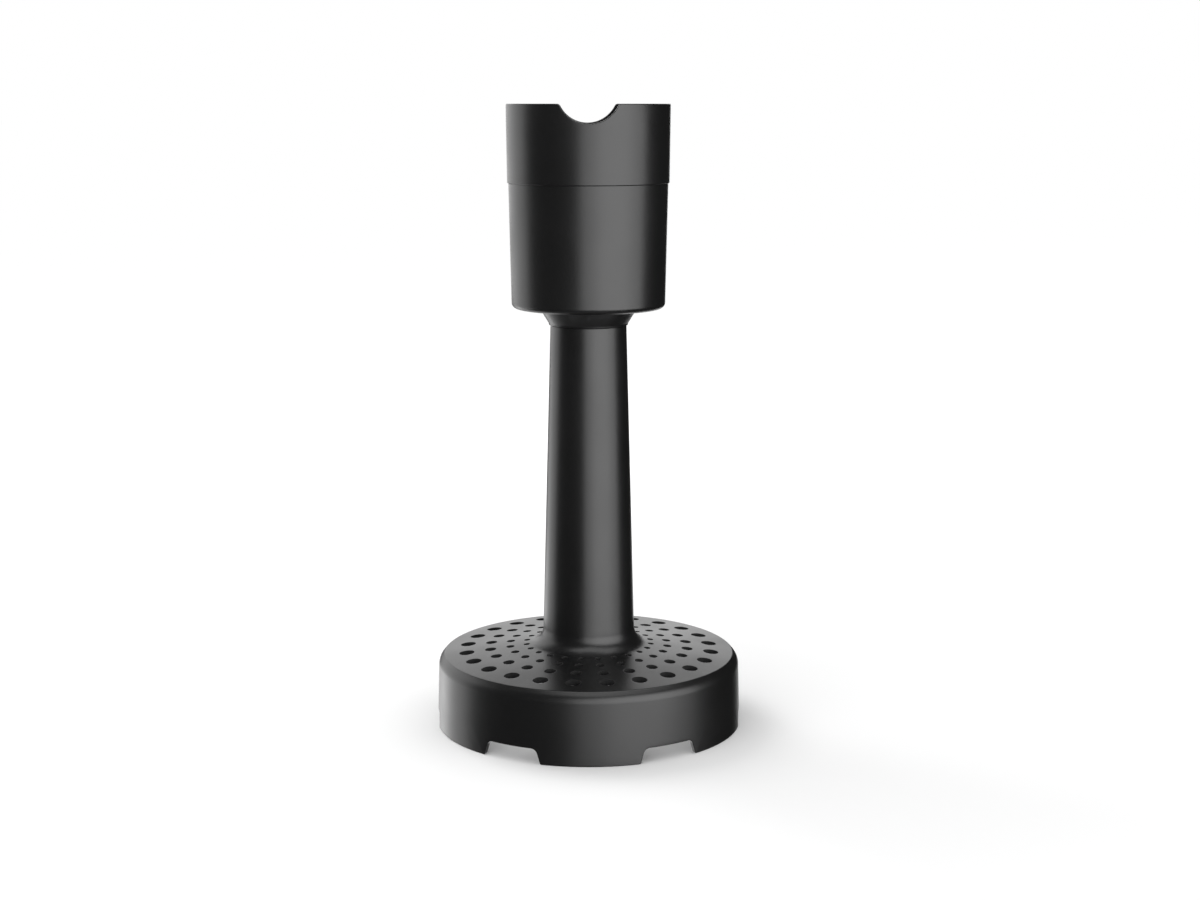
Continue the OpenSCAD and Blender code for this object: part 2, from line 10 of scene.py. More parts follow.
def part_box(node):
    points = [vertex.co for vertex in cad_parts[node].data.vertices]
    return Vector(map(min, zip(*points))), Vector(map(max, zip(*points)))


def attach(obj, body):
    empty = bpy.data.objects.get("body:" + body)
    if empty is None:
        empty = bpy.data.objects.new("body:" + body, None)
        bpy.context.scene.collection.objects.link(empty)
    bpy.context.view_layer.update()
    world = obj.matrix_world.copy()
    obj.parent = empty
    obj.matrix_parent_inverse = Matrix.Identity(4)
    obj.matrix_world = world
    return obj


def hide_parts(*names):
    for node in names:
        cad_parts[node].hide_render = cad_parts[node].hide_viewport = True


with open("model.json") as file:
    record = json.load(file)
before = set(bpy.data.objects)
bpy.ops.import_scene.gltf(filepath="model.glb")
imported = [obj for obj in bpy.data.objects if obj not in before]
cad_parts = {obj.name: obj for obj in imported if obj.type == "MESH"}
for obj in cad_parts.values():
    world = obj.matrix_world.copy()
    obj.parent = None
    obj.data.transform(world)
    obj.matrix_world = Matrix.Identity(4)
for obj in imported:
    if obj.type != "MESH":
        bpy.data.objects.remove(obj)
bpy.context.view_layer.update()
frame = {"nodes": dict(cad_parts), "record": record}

MM = 0.001
QUARTER = math.pi / 2
COLUMNS = 192
LONGEST_STEP = 6.0 * MM

# ---- Sizes: from the frame where it holds them, and otherwise in metres ----

foot_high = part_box("masher_foot")[1]
house_low, house_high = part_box("gearbox_housing")
collar_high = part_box("coupling_collar")[1]
neck_low, neck_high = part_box("neck_ring")
plug_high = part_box("hub_plug")[1]
paddle_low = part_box("paddle")[0]
coupling_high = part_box("input_coupling")[1]
bush_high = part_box("upper_bush")[1]

# Bell and sieve plate
FOOT_R = 52.5 * MM
PLATE_EDGE_Z = 24.3 * MM
PLATE_SLOPE = math.tan(math.radians(6.1))
PLATE_T = 2.0 * MM
SKIRT_WALL = 2.0 * MM
SKIRT_DRAFT = math.tan(math.radians(1.75))
SHOULDER_ROUND = 4.4 * MM
SHOULDER_EDGE_ROUND = 0.8 * MM
SHOULDER_LEG = 1.87 * MM
INNER_ROUND = 1.4 * MM
BAND_TOP_Z = 9.0 * MM
NOTCH_COUNT = 6
NOTCH_H = 5.1 * MM
NOTCH_HALF_LOW = 10.65 * MM
NOTCH_HALF_HIGH = 9.05 * MM
NOTCH_ROUND = 2.2 * MM
TOOTH_ROUND = 0.6 * MM
RESTING_EDGE_ROUND = 0.3 * MM

# Sieve holes, outer ring first
HOLES_IN_RING = 24
RING_RADII = (42.4 * MM, 34.18 * MM, 27.33 * MM, 21.62 * MM)
HOLE_RADII = (2.55 * MM, 1.874 * MM, 1.378 * MM, 1.012 * MM)
HOLE_EDGE_ROUND = 0.1 * MM
SIEVE_OUTER_R = 47.6 * MM
SIEVE_INNER_R = 19.9 * MM

# Tube
TUBE_TOP_Z = foot_high.z
TUBE_TOP_R = 12.85 * MM
TUBE_ROOT_R = 15.8 * MM
FLARE_R = 6.0 * MM
TUBE_BORE_R = 10.55 * MM
LEDGE_Z = 112.2 * MM
LEDGE_T = 2.0 * MM
LEDGE_BORE_R = 8.5 * MM
SEAT_GAP = 0.02 * MM
GUIDE_R = bush_high.x + SEAT_GAP
GUIDE_SEAT_Z = bush_high.z - 10.0 * MM
PLUG_R = plug_high.x + SEAT_GAP
PLUG_STEP = 0.6 * MM
PLUG_TOP_Z = plug_high.z

# Neck
SPIGOT_R = 10.5 * MM
SPIGOT_ROUND = 0.8 * MM
GROOVE_DEPTH = 1.5 * MM
GROOVE_HALF_W = 1.0 * MM
GROOVE_DROP = 14.0 * MM
NECK_LEAD = 0.6 * MM
NECK_BOTTOM_Z = neck_low.z
NECK_Z = TUBE_TOP_Z + 0.1 * MM
NECK_R = neck_high.x
KEY_COUNT = 3
KEY_W = 4.0 * MM
KEY_H = 6.0 * MM
KEY_T = 1.1 * MM
KEY_GAP = 0.15 * MM
NECK_SCREW_ORBIT = 12.0 * MM
NECK_SCREW_TURN = math.radians(30)
OUTPUT_BUSH_R = 7.52 * MM
BOSS_R = 9.2 * MM
BOSS_H = 2.5 * MM
BOSS_GAP = 0.05 * MM

# Gearbox housing
HOUSE_Z = house_low.z
SEAM_Z = house_high.z
HOUSE_R = house_high.x
HOUSE_DRAFT = math.tan(math.radians(1.2))
HOUSE_ROUND = 2.0 * MM
FLOOR_Z = HOUSE_Z + 3.5 * MM
RING_Z = FLOOR_Z + 3.9 * MM
CAVITY_R = 23.05 * MM
STEP_R = 20.9 * MM
MOUTH_R = HOUSE_R - 2.3 * MM
MOUTH_DEPTH = 8.3 * MM
RING_KEY_W = 3.0 * MM
RING_KEY_T = 1.05 * MM
RING_KEY_H = 16.5 * MM
RING_KEYS = 3

# Collar
RIM_Z = collar_high.z
RIM_R = collar_high.x
COLLAR_DRAFT = math.tan(math.radians(0.6))
COLLAR_BASE_R = RIM_R - (RIM_Z - SEAM_Z) * COLLAR_DRAFT
SOCKET_R = RIM_R - 2.5 * MM
SOCKET_Z = SEAM_Z + 0.5 * MM
SOCKET_FLOOR_T = 3.0 * MM
COLLAR_RING_T = 2.0 * MM
COLLAR_RING_H = 8.0 * MM
LIP = 1.2 * MM
LATCH_Z = SOCKET_Z + 9.5 * MM
LATCH_W = 3.0 * MM
LATCH_DEPTH = 1.1 * MM
LATCH_ROUND = 0.12 * MM
COUPLING_HOLE_R = coupling_high.x + 1.6 * MM
POST_ORBIT = SOCKET_R - 9.4 * MM
RIM_BAND_Z = 203.0 * MM
FINGER_R = 10.5 * MM
FINGER_DEPTH = 6.4 * MM
FINGER_CORNER_R = 1.2 * MM
FINGER_EDGE_ROUND = 0.3 * MM
RIM_ROUND = 0.4 * MM
RIM_INNER_ROUND = 0.8 * MM

# Screws
SCREW_COUNT = 3
SCREW_R = 1.12 * MM
SCREW_HEAD_R = 2.05 * MM
SCREW_HEAD_H = 1.5 * MM

# Paddle
PADDLE_R = 46.0 * MM
PADDLE_GAP = 1.2 * MM
HUB_R = 7.0 * MM
HUB_Z = paddle_low.z
HUB_TOP_Z = 25.67 * MM
HEX_SOCKET_R = 3.15 * MM
HEX_SOCKET_Z = 12.7 * MM
WING_BEND_R = PADDLE_R * 0.72
WING_T = 2.6 * MM
WING_H = 10.0 * MM
WING_FOOT_W = 5.4 * MM
WING_FOOT_H = 2.2 * MM
WING_START_R = 5.2 * MM
WING_STATIONS = 22
TIP_ROUND = 0.6 * MM


# ---- Outlines, as (r, z) or (x, z) points ----

def unit(v):
    return v / np.linalg.norm(v)


def rounded(points, steps=6):
    """Closed outline through (x, y, corner radius[, steps]) points, its corners as arcs."""
    out = []
    count = len(points)
    for i in range(count):
        before, here, after = (np.array(points[(i + k) % count][:2]) for k in (-1, 0, 1))
        radius = points[i][2]
        parts = points[i][3] if len(points[i]) > 3 else steps
        if radius <= 0:
            out.append(tuple(here))
            continue
        u, v = unit(before - here), unit(after - here)
        half = math.acos(np.clip(u @ v, -1, 1)) / 2
        centre = here + unit(u + v) * radius / math.sin(half)
        first = here + u * radius / math.tan(half) - centre
        last = here + v * radius / math.tan(half) - centre
        start = math.atan2(first[1], first[0])
        turn = (math.atan2(last[1], last[0]) - start + 3 * math.pi) % (2 * math.pi) - math.pi
        for k in range(parts + 1):
            a = start + turn * k / parts
            out.append(tuple(centre + radius * np.array([math.cos(a), math.sin(a)])))
    return out


def divided(points, longest, closed=False):
    """The outline with every stretch over the longest length cut into equal parts."""
    out = []
    count = len(points)
    for i in range(count if closed else count - 1):
        a, b = np.array(points[i]), np.array(points[(i + 1) % count])
        parts = max(1, math.ceil(np.linalg.norm(b - a) / longest))
        out += [tuple(a + (b - a) * k / parts) for k in range(parts)]
    return out if closed else out + [tuple(points[-1])]


def skirt_r(z):
    return FOOT_R - z * SKIRT_DRAFT


def plate_top(r):
    return PLATE_EDGE_Z + (FOOT_R - r) * PLATE_SLOPE


def plate_under(r):
    return plate_top(r) - PLATE_T


def inner_skirt_r(z):
    top_r = skirt_r(PLATE_EDGE_Z) - SKIRT_WALL
    low_r = FOOT_R - SKIRT_WALL
    return low_r + (top_r - low_r) * z / plate_under(low_r)


def collar_r(z):
    return RIM_R - (RIM_Z - z) * COLLAR_DRAFT


def plate_and_tube():
    """Outline of the plate's top, the flare and the tube, from the shoulder to the tube's end."""
    return rounded([
        (SIEVE_OUTER_R, plate_top(SIEVE_OUTER_R), 0),
        (TUBE_ROOT_R, plate_top(TUBE_ROOT_R), FLARE_R, 14),
        (TUBE_TOP_R, TUBE_TOP_Z, 0.3 * MM, 3),
        (TUBE_BORE_R, TUBE_TOP_Z, 0)])


def sieve_top(r):
    """Height of the plate's top at radius r, with the flare's start."""
    line = sorted(p for p in plate_and_tube() if p[1] < TUBE_TOP_Z / 2)
    return float(np.interp(r, [p[0] for p in line], [p[1] for p in line]))


# ---- Meshes ----

def ring_of(bm, r, z, columns):
    """A level ring of vertices that starts at the front, or one vertex on the axis."""
    if r < 1e-7:
        return [bm.verts.new((0, 0, z))] * columns
    turns = (2 * math.pi * k / columns - QUARTER for k in range(columns))
    return [bm.verts.new((r * math.cos(a), r * math.sin(a), z)) for a in turns]


def bridge(bm, low, high, loop=True):
    """Faces between two rows of vertices."""
    count = len(low)
    for k in range(count if loop else count - 1):
        n = (k + 1) % count
        corners = list(dict.fromkeys((low[k], low[n], high[n], high[k])))
        if len(corners) > 2:
            bm.faces.new(corners)


def lathe(bm, outline, closed=False, columns=COLUMNS):
    """Surface of revolution about Z through (r, z) points."""
    rings = [ring_of(bm, r, z, columns) for r, z in outline]
    for i in range(len(rings) if closed else len(rings) - 1):
        bridge(bm, rings[i], rings[(i + 1) % len(rings)])


def mesh_object(name, bm, material, weld=1e-7):
    """An object from bm, its doubles merged, its normals outwards, shaded smooth."""
    bmesh.ops.remove_doubles(bm, verts=bm.verts, dist=weld)
    bmesh.ops.recalc_face_normals(bm, faces=bm.faces)
    mesh = bpy.data.meshes.new(name)
    bm.to_mesh(mesh)
    bm.free()
    mesh.shade_smooth()
    mesh.materials.append(material)
    obj = bpy.data.objects.new(name, mesh)
    bpy.context.scene.collection.objects.link(obj)
    return obj


def apply_modifiers(obj):
    """Makes the object's evaluated shape its own plain mesh."""
    bpy.context.view_layer.update()
    shaped = obj.evaluated_get(bpy.context.evaluated_depsgraph_get())
    mesh = bpy.data.meshes.new_from_object(shaped)
    mesh.name = obj.name
    obj.modifiers.clear()
    obj.data = mesh
    return obj


def joined(name, first, second, weld=2e-6):
    """One welded object from two."""
    bm = bmesh.new()
    bm.from_mesh(first.data)
    bm.from_mesh(second.data)
    material = first.data.materials[0]
    for obj in (first, second):
        bpy.data.objects.remove(obj)
    return mesh_object(name, bm, material, weld)


def combine(obj, other, operation):
    """Adds other to obj (UNION) or cuts it out (DIFFERENCE), and removes other."""
    step = obj.modifiers.new(operation, "BOOLEAN")
    step.operation = operation
    step.solver = "EXACT"
    step.object = other
    apply_modifiers(obj)
    bpy.data.objects.remove(other)
    return obj


def even_shading(obj, crease=40):
    """Sharp shading at real creases only, with normals led by the larger faces."""
    obj.data.shade_smooth()
    obj.data.set_sharp_from_angle(angle=math.radians(crease))
    step = obj.modifiers.new("even shading", "WEIGHTED_NORMAL")
    step.keep_sharp = True
    step.weight = 70
    return apply_modifiers(obj)


def finish_piece(obj, body, slot, *nodes):
    even_shading(obj)
    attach(obj, body)
    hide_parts(*nodes)
    return obj


# ---- Wall between two surfaces of revolution, its free edge following a repeated outline ----

def edge_normals(points, up):
    """Unit normals of an open outline, turned towards up (+1 or -1)."""
    p = np.array(points)
    along = np.diff(p, axis=0)
    along /= np.linalg.norm(along, axis=1)[:, None]
    mean = np.vstack([along[:1], along[:-1] + along[1:], along[-1:]])
    mean /= np.linalg.norm(mean, axis=1)[:, None]
    normals = np.column_stack([-mean[:, 1], mean[:, 0]])
    return normals * np.sign(normals[-1, 1]) * up


def column_angles(x, r, chords, half_period):
    """Angles of the columns: the notch's from their chords, and the rest evenly spread."""
    turns = [math.asin(min(x[k] / r[k], 1)) for k in range(chords)]
    rest = len(x) - chords
    step = (half_period - turns[-1]) / rest
    return turns + [turns[-1] + step * (k + 1) for k in range(rest)]


def notched_ring(bm, turns, r, z, periods, start):
    """A ring of vertices from half a notch's columns, mirrored and repeated."""
    last = len(turns) - 1
    ring = []
    for p in range(periods):
        middle = start + 2 * math.pi * p / periods
        for k in range(-last + 1, last + 1):
            i = abs(k)
            a = middle + math.copysign(turns[i], k)
            ring.append(bm.verts.new((r[i] * math.cos(a), r[i] * math.sin(a), z[i])))
    return ring


def notched_edge(bm, outline, chords, up, rounds, surfaces, far_z, periods, start):
    """The wall from far_z to its notched edge, both sides and the rounded edge between.

    outline runs from the notch's middle to midway between notches; rounds gives each column's
    edge rounding outside and inside; surfaces are the outer and inner radius as functions of z.
    """
    half_period = math.pi / periods
    normals = edge_normals(outline, up)
    x0, z0 = np.array(outline).T
    count = len(outline)
    regular = [half_period * k / (count - 1) for k in range(count)]
    bends = [math.radians(a) for a in (0, 30, 60, 90)]
    sides = []
    for surface, size, way in zip(surfaces, np.array(rounds).T, (-1, 1)):
        rows = []
        for bend in bends:
            inset = size * (1 - math.sin(bend))
            depth = size * (1 - math.cos(bend))
            x, z = x0 - normals[:, 0] * inset, z0 - normals[:, 1] * inset
            r = [surface(h) + way * d for h, d in zip(z, depth)]
            rows.append((column_angles(x, r, chords, half_period), r, z))
        turns, _, z = rows[0]
        for share in (0.3, 0.65, 1.0):
            level = z * (1 - share) + far_z * share
            spread = [a * (1 - share) + b * share for a, b in zip(turns, regular)]
            rows.insert(0, (spread, [surface(h) for h in level], level))
        sides.append([notched_ring(bm, *row, periods, start) for row in rows])
    outer, inner = sides
    for rings in sides:
        for low, high in zip(rings, rings[1:]):
            bridge(bm, low, high)
    bridge(bm, outer[-1], inner[-1])


# ---- Geometry nodes: copies of a piece spun round the drive axis ----

def spin_copies_tree():
    """Copies of a mesh, evenly spaced about Z and welded where they meet."""
    tree = bpy.data.node_groups.new("spin_copies", "GeometryNodeTree")
    sockets = tree.interface
    sockets.new_socket("Geometry", in_out="INPUT", socket_type="NodeSocketGeometry")
    sockets.new_socket("Copies", in_out="INPUT", socket_type="NodeSocketInt").default_value = 1
    sockets.new_socket("Weld Distance", in_out="INPUT", socket_type="NodeSocketFloat")
    sockets.new_socket("Finish", in_out="INPUT", socket_type="NodeSocketMaterial")
    sockets.new_socket("Geometry", in_out="OUTPUT", socket_type="NodeSocketGeometry")
    add, link = tree.nodes.new, tree.links.new
    given, result = add("NodeGroupInput"), add("NodeGroupOutput")
    points = add("GeometryNodeMeshLine")
    points.inputs["Offset"].default_value = (0, 0, 0)
    index, step = add("GeometryNodeInputIndex"), add("ShaderNodeMath")
    turn, angles = add("ShaderNodeMath"), add("ShaderNodeCombineXYZ")
    step.operation, turn.operation = "DIVIDE", "MULTIPLY"
    step.inputs[0].default_value = 2 * math.pi
    rotation, copies = add("FunctionNodeEulerToRotation"), add("GeometryNodeInstanceOnPoints")
    weld, real = add("GeometryNodeMergeByDistance"), add("GeometryNodeRealizeInstances")
    finish = add("GeometryNodeSetMaterial")
    link(given.outputs["Copies"], points.inputs["Count"])
    link(given.outputs["Copies"], step.inputs[1])
    link(index.outputs[0], turn.inputs[0])
    link(step.outputs[0], turn.inputs[1])
    link(turn.outputs[0], angles.inputs["Z"])
    link(angles.outputs[0], rotation.inputs[0])
    link(points.outputs["Mesh"], copies.inputs["Points"])
    link(given.outputs["Geometry"], copies.inputs["Instance"])
    link(rotation.outputs[0], copies.inputs["Rotation"])
    link(copies.outputs["Instances"], real.inputs["Geometry"])
    link(real.outputs["Geometry"], weld.inputs["Geometry"])
    link(given.outputs["Weld Distance"], weld.inputs["Distance"])
    link(weld.outputs["Geometry"], finish.inputs["Geometry"])
    link(given.outputs["Finish"], finish.inputs["Material"])
    link(finish.outputs["Geometry"], result.inputs["Geometry"])
    return tree


def spin_copies(obj, copies):
    """Repeats obj round the drive axis."""
    step = obj.modifiers.new("copies", "NODES")
    step.node_group = SPIN_COPIES
    values = {"Copies": copies, "Weld Distance": 2e-6, "Finish": obj.data.materials[0]}
    for socket in SPIN_COPIES.interface.items_tree:
        if socket.in_out == "INPUT" and socket.name in values:
            step[socket.identifier] = values[socket.name]
    return apply_modifiers(obj)


# ---- Small shapes that are added or cut out in threes ----

def block(name, low, high, round_, material, turn=0.0):
    """A block with its upright edges rounded, turned about Z."""
    bm = bmesh.new()
    size = [h - l for l, h in zip(low, high)]
    middle = [(h + l) / 2 for l, h in zip(low, high)]
    place = Matrix.Translation(middle) @ Matrix.Diagonal((*size, 1))
    bmesh.ops.create_cube(bm, size=1, matrix=place)
    upright = [e for e in bm.edges if abs(e.verts[0].co.z - e.verts[1].co.z) > size[2] / 2]
    bmesh.ops.bevel(bm, geom=upright, offset=round_, segments=3, affect="EDGES", profile=0.5)
    bmesh.ops.rotate(bm, verts=bm.verts, cent=(0, 0, 0), matrix=Matrix.Rotation(turn, 3, "Z"))
    return mesh_object(name, bm, material)


def screw_cutter(name, orbit, turn, low, head, high, material):
    """The room of a screw at an orbit: shank up to the head's seat, and the head's pocket."""
    bm = bmesh.new()
    lathe(bm, [(0, low), (SCREW_R, low), (SCREW_R, head), (SCREW_HEAD_R, head),
               (SCREW_HEAD_R, high), (0, high)], columns=32)
    bmesh.ops.translate(bm, verts=bm.verts, vec=(orbit, 0, 0))
    bmesh.ops.rotate(bm, verts=bm.verts, cent=(0, 0, 0), matrix=Matrix.Rotation(turn, 3, "Z"))
    return mesh_object(name, bm, material)


# ---- Foot: bell, sieve plate and tube in one moulding ----

def cell_edge(r_low, r_high, spread, steps):
    """Points round one hole's cell, anticlockwise from its inner right corner."""
    share = np.linspace(0, 1, steps, endpoint=False)
    polar = [(r_low + (r_high - r_low) * t, -spread) for t in share]
    polar += [(r_high, -spread + 2 * spread * t) for t in share]
    polar += [(r_high - (r_high - r_low) * t, spread) for t in share]
    polar += [(r_low, spread - 2 * spread * t) for t in share]
    return [np.array([r * math.cos(a), r * math.sin(a)]) for r, a in polar]


def hole_cell(bm, r_low, r_high, ring_r, hole_r, spread, steps):
    """The plate round one hole: top face, rounded edges, wall and underside."""
    edge = cell_edge(r_low, r_high, spread, steps)
    count = len(edge)
    centre = np.array([ring_r, 0.0])
    turns = [-0.75 * math.pi + 2 * math.pi * k / count for k in range(count)]
    rays = [np.array([math.cos(a), math.sin(a)]) for a in turns]

    def row(share, radius, height, drop):
        spots = [(centre + ray * radius) * (1 - share) + out * share for ray, out in zip(rays, edge)]
        return [bm.verts.new((x, y, height(math.hypot(x, y)) + drop)) for x, y in spots]

    mouth = hole_r + HOLE_EDGE_ROUND
    shares = (1.0, 0.6, 0.25, 0.07)
    bends = [(HOLE_EDGE_ROUND * math.sin(math.radians(a)), HOLE_EDGE_ROUND * (1 - math.cos(math.radians(a))))
             for a in (0, 45, 90)]
    rows = [row(s, mouth, sieve_top, 0) for s in shares]
    rows += [row(0, mouth - across, sieve_top, -down) for across, down in bends]
    rows += [row(0, mouth - across, plate_under, down) for across, down in reversed(bends)]
    rows += [row(s, mouth, plate_under, 0) for s in reversed(shares)]
    pocket = bm.verts.layers.float["pocket"]
    for vert in (v for i in range(len(shares) + 1, len(rows) - len(shares) - 1) for v in rows[i]):
        vert[pocket] = 1.0
    for low, high in zip(rows, rows[1:]):
        bridge(bm, low, high)


def sieve_plate(material):
    """The ring of plate that holds the holes: one sector, spun round."""
    bm = bmesh.new()
    bm.verts.layers.float.new("pocket")
    spread = math.pi / HOLES_IN_RING
    between = [(a + b) / 2 for a, b in zip(RING_RADII, RING_RADII[1:])]
    limits = [SIEVE_OUTER_R, *between, SIEVE_INNER_R]
    for i, (ring_r, hole_r) in enumerate(zip(RING_RADII, HOLE_RADII)):
        hole_cell(bm, limits[i + 1], limits[i], ring_r, hole_r, spread, COLUMNS // HOLES_IN_RING)
    turn = Matrix.Rotation(spread - QUARTER, 3, "Z")
    bmesh.ops.rotate(bm, verts=bm.verts, cent=(0, 0, 0), matrix=turn)
    return spin_copies(mesh_object("sieve_sector", bm, material), HOLES_IN_RING)


def notch_outline():
    """Half of a notch in the resting edge, then half of the tooth beside it."""
    corner = rounded([(0, NOTCH_H, 0), (NOTCH_HALF_HIGH, NOTCH_H, NOTCH_ROUND, 5),
                      (NOTCH_HALF_LOW, 0, TOOTH_ROUND, 2), (NOTCH_HALF_LOW * 2, 0, 0)])
    ceiling = [(corner[1][0] * k / 3, NOTCH_H) for k in range(3)]
    notch = ceiling + corner[1:-1]
    return notch + [(NOTCH_HALF_LOW + 2 * MM * k, 0) for k in range(1, 6)], len(notch)


def bell_and_tube(material):
    """Everything of the foot apart from the ring of plate with the holes."""
    bm = bmesh.new()
    shoulder_z, shoulder_r = PLATE_EDGE_Z - SHOULDER_LEG, skirt_r(PLATE_EDGE_Z) - SHOULDER_LEG
    outside = rounded([
        (skirt_r(BAND_TOP_Z), BAND_TOP_Z, 0),
        (skirt_r(shoulder_z), shoulder_z, SHOULDER_ROUND, 8),
        (shoulder_r, plate_top(shoulder_r), SHOULDER_EDGE_ROUND, 5),
        (SIEVE_OUTER_R, plate_top(SIEVE_OUTER_R), 0)])
    inside = rounded([
        (SIEVE_OUTER_R, plate_under(SIEVE_OUTER_R), 0),
        (inner_skirt_r(plate_under(FOOT_R - SKIRT_WALL)), plate_under(FOOT_R - SKIRT_WALL), INNER_ROUND),
        (inner_skirt_r(BAND_TOP_Z), BAND_TOP_Z, 0)])
    tube = [(SIEVE_INNER_R, sieve_top(SIEVE_INNER_R))]
    tube += [p for p in plate_and_tube() if p[0] < SIEVE_INNER_R]
    tube += [(TUBE_BORE_R, LEDGE_Z), (LEDGE_BORE_R, LEDGE_Z), (LEDGE_BORE_R, LEDGE_Z - LEDGE_T),
             (GUIDE_R, LEDGE_Z - LEDGE_T), (GUIDE_R, GUIDE_SEAT_Z), (PLUG_R - PLUG_STEP, PLUG_TOP_Z),
             (PLUG_R, PLUG_TOP_Z), (PLUG_R, plate_under(PLUG_R)),
             (SIEVE_INNER_R, plate_under(SIEVE_INNER_R))]
    lathe(bm, divided(outside, LONGEST_STEP))
    lathe(bm, divided(inside, LONGEST_STEP))
    lathe(bm, divided(tube, 8 * MM))
    outline, chords = notch_outline()
    rounds = [(RESTING_EDGE_ROUND, RESTING_EDGE_ROUND)] * len(outline)
    notched_edge(bm, outline, chords, -1, rounds, (skirt_r, inner_skirt_r), BAND_TOP_Z,
                 NOTCH_COUNT, math.pi / NOTCH_COUNT - QUARTER)
    return mesh_object("bell_and_tube", bm, material)


def make_foot(material):
    foot = joined("foot_moulding", sieve_plate(material), bell_and_tube(material))
    slot = block("key_slot", (SPIGOT_R - 0.5 * MM, -KEY_W / 2 - KEY_GAP, TUBE_TOP_Z - KEY_H - 0.4 * MM),
                 (SPIGOT_R + KEY_T + 0.2 * MM, KEY_W / 2 + KEY_GAP, TUBE_TOP_Z + 1 * MM),
                 0.3 * MM, material, QUARTER)
    combine(foot, spin_copies(slot, KEY_COUNT), "DIFFERENCE")
    return finish_piece(foot, "foot", "black_plastic", "masher_foot")


# ---- Paddle: hub with a hexagon socket, and two bent wings of T section ----

def wing_section():
    """Half-width, height below the top edge: an upright blade on a broad foot."""
    blade, foot = WING_T / 2, WING_FOOT_W / 2
    side = [(blade, 0, 0.5 * MM), (blade, WING_H - WING_FOOT_H, 0.8 * MM),
            (foot, WING_H - WING_FOOT_H, 0.5 * MM), (foot, WING_H, 0.6 * MM)]
    mirrored = [(-x, y, r) for x, y, r in reversed(side)]
    return rounded(side + mirrored, 4)


def shrunk(section, inset):
    """The section with its outline moved inwards."""
    p = np.array(section)
    along = np.roll(p, -1, 0) - np.roll(p, 1, 0)
    along /= np.linalg.norm(along, axis=1)[:, None]
    normals = np.column_stack([-along[:, 1], along[:, 0]])
    centre = p.mean(0)
    normals *= np.sign(((centre - p) * normals).sum(1).sum())
    return p + normals * inset


def wing(material):
    """One wing, swept along its bend from inside the hub to the rounded tip."""
    bm = bmesh.new()
    section = wing_section()
    tilt = math.acos(PADDLE_R / 2 / WING_BEND_R)
    centre = WING_BEND_R * np.array([math.cos(tilt), math.sin(tilt)])

    def turn_at(bend_r, radius):
        """Angle about the bend's centre at which a line of that bend radius is radius from the axis."""
        span = np.linalg.norm(centre)
        cosine = (bend_r ** 2 + span ** 2 - radius ** 2) / (2 * bend_r * span)
        return math.acos(np.clip(cosine, -1, 1))

    def row(radius, outline):
        verts = []
        for across, down in outline:
            bend_r = WING_BEND_R + across
            a = math.atan2(-centre[1], -centre[0]) + turn_at(bend_r, radius)
            x, y = centre + bend_r * np.array([math.cos(a), math.sin(a)])
            top = min(plate_under(radius) - PADDLE_GAP, HUB_TOP_Z - 0.1 * MM)
            low = plate_under(radius) - PADDLE_GAP - WING_H
            verts.append(bm.verts.new((x, y, top + (low - top) * down / WING_H)))
        return verts

    stations = np.linspace(WING_START_R, PADDLE_R - TIP_ROUND, WING_STATIONS)
    rows = [row(r, section) for r in stations]
    for bend in (30, 60, 90):
        a = math.radians(bend)
        inset, reach = TIP_ROUND * (1 - math.cos(a)), PADDLE_R - TIP_ROUND * (1 - math.sin(a))
        rows.append(row(reach, shrunk(section, inset)))
    for low, high in zip(rows, rows[1:]):
        bridge(bm, low, high)
    bm.faces.new(rows[0])
    bm.faces.new(rows[-1])
    return mesh_object("wing", bm, material)


def make_paddle(material):
    bm = bmesh.new()
    lathe(bm, rounded([(0, HUB_Z, 0), (HUB_R, HUB_Z, 1.5 * MM), (HUB_R, HUB_TOP_Z, 0.6 * MM),
                       (0, HUB_TOP_Z, 0)]), columns=96)
    paddle = mesh_object("paddle_moulding", bm, material)
    combine(paddle, spin_copies(wing(material), 2), "UNION")
    bm = bmesh.new()
    lathe(bm, [(0, HEX_SOCKET_Z), (HEX_SOCKET_R, HEX_SOCKET_Z), (HEX_SOCKET_R, HUB_TOP_Z + 1 * MM),
               (0, HUB_TOP_Z + 1 * MM)], columns=6)
    bmesh.ops.rotate(bm, verts=bm.verts, cent=(0, 0, 0), matrix=Matrix.Rotation(QUARTER, 3, "Z"))
    combine(paddle, mesh_object("hexagon", bm, material), "DIFFERENCE")
    return finish_piece(paddle, "paddle", "black_plastic", "paddle")


# ---- Head: neck, gearbox housing and collar ----

